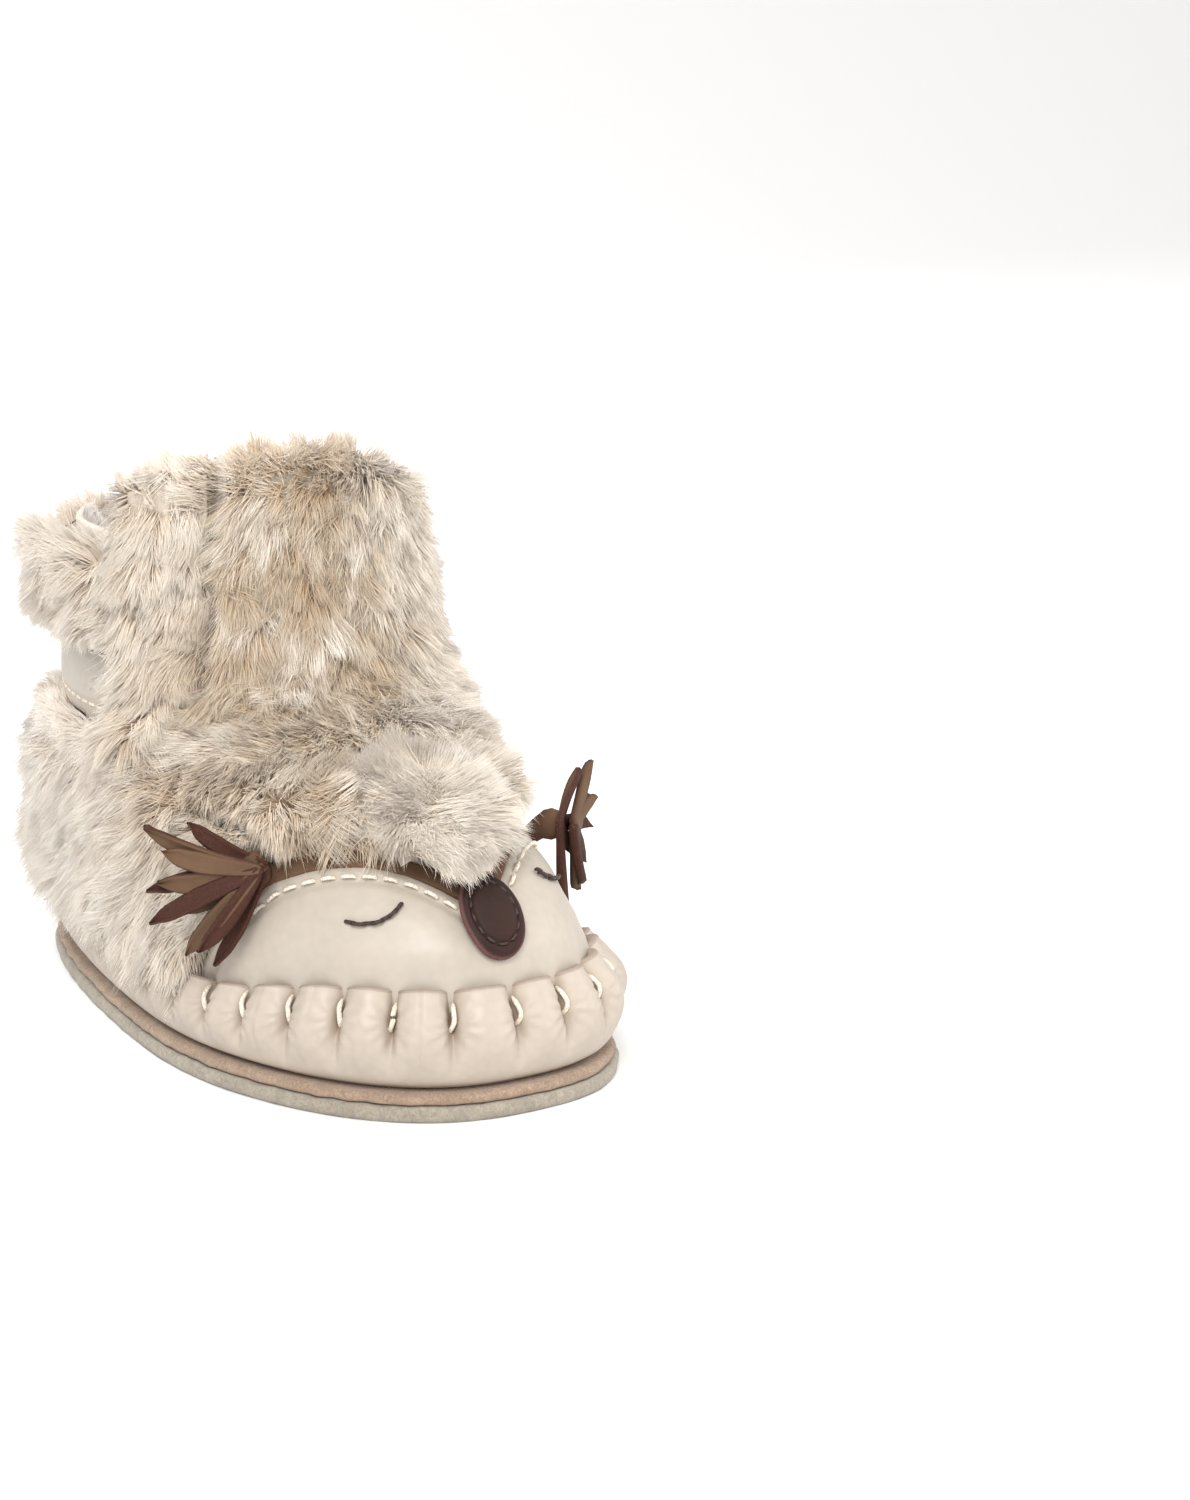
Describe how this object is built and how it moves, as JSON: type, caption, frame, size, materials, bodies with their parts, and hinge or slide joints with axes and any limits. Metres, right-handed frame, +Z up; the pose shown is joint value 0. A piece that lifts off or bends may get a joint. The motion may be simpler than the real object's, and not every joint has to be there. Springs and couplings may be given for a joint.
{
  "type": "baby bootie",
  "caption": "Soft-soled baby bootie with a pleated moccasin band, fringed animal face, fur upper, fold-down fur tongue and strapped ankle.",
  "frame": {"origin": "middle of the sole's length on its flat bottom", "axes": "+Z up, toe towards -Y, inner side of the right foot towards +X"},
  "size_m": [0.0833, 0.1241, 0.084],
  "materials": {
    "suede": "coarse suede, grey beige",
    "tan_suede": "raw split leather edge, tan",
    "cream_leather": "smooth nappa leather, satin, cream beige",
    "fur": "long pile faux fur, cream with tan roots",
    "plush": "short pile plush, cream",
    "brown_nubuck": "matt nubuck, taupe brown with a dark red-brown back",
    "nose_leather": "matt leather, dark brown",
    "cream_thread": "waxed thread, cream",
    "dark_thread": "thread, dark brown",
    "foam": "soft foam, off white",
    "tape": "hook and loop tape, cream"
  },
  "bodies": {
    "bootie": {"ankle_strap": "cream_leather", "brow_strip_inner": "brown_nubuck", "brow_strip_outer": "brown_nubuck", "collar_fur": "fur", "eye_inner": "dark_thread", "eye_outer": "dark_thread", "face_panel": "cream_leather", "face_thread_inner": "cream_thread", "face_thread_outer": "cream_thread", "foot_lining": "plush", "fur_forelock": "fur", "insole_foam": "foam", "insole_sock": "plush", "loop_pad_inner": "tape", "loop_pad_outer": "tape", "moccasin_band": "cream_leather", "nose_patch": "nose_leather", "nose_thread": "dark_thread", "outsole": "suede", "outsole_thread": "cream_thread", "pucker_thread": "cream_thread", "quarter_fur_inner": "fur", "quarter_fur_outer": "fur", "shaft_lining": "plush", "shaft_wall": "cream_leather", "strap_thread_lower": "cream_thread", "strap_thread_upper": "cream_thread", "vamp_fur": "fur", "welt_layer": "tan_suede"},
    "tongue": {"tongue_fur": "fur", "tongue_lining": "plush"},
    "wing_outer": {"wing_fur_outer": "fur", "wing_lining_outer": "plush", "hook_pad_outer": "tape"},
    "ear_outer": {"ear_fringe_outer": "brown_nubuck"},
    "wing_inner": {"wing_fur_inner": "fur", "wing_lining_inner": "plush", "hook_pad_inner": "tape"},
    "ear_inner": {"ear_fringe_inner": "brown_nubuck"}
  },
  "joints": [
    {"name": "tongue_fold", "type": "hinge", "parent": "bootie", "child": "tongue", "pos_m": [0, -0.026, 0.043], "axis": [1, 0, 0], "range_deg": [0, 75]},
    {"name": "wing_peel_outer", "type": "hinge", "parent": "tongue", "child": "wing_outer", "pos_m": [-0.0297, -0.0083, 0.046], "axis": [0.2709, 0, 0.9626], "range_deg": [0, 50]},
    {"name": "ear_flop_outer", "type": "hinge", "parent": "bootie", "child": "ear_outer", "pos_m": [-0.0203, -0.02903, 0.02986], "axis": [0.766, 0.6428, 0], "range_deg": [-8, 20]},
    {"name": "wing_peel_inner", "type": "hinge", "parent": "tongue", "child": "wing_inner", "pos_m": [0.0297, -0.0083, 0.046], "axis": [0.2709, 0, -0.9626], "range_deg": [0, 50]},
    {"name": "ear_flop_inner", "type": "hinge", "parent": "bootie", "child": "ear_inner", "pos_m": [0.02138, -0.02903, 0.0307], "axis": [0.766, -0.6428, 0], "range_deg": [-8, 20]}
  ]
}
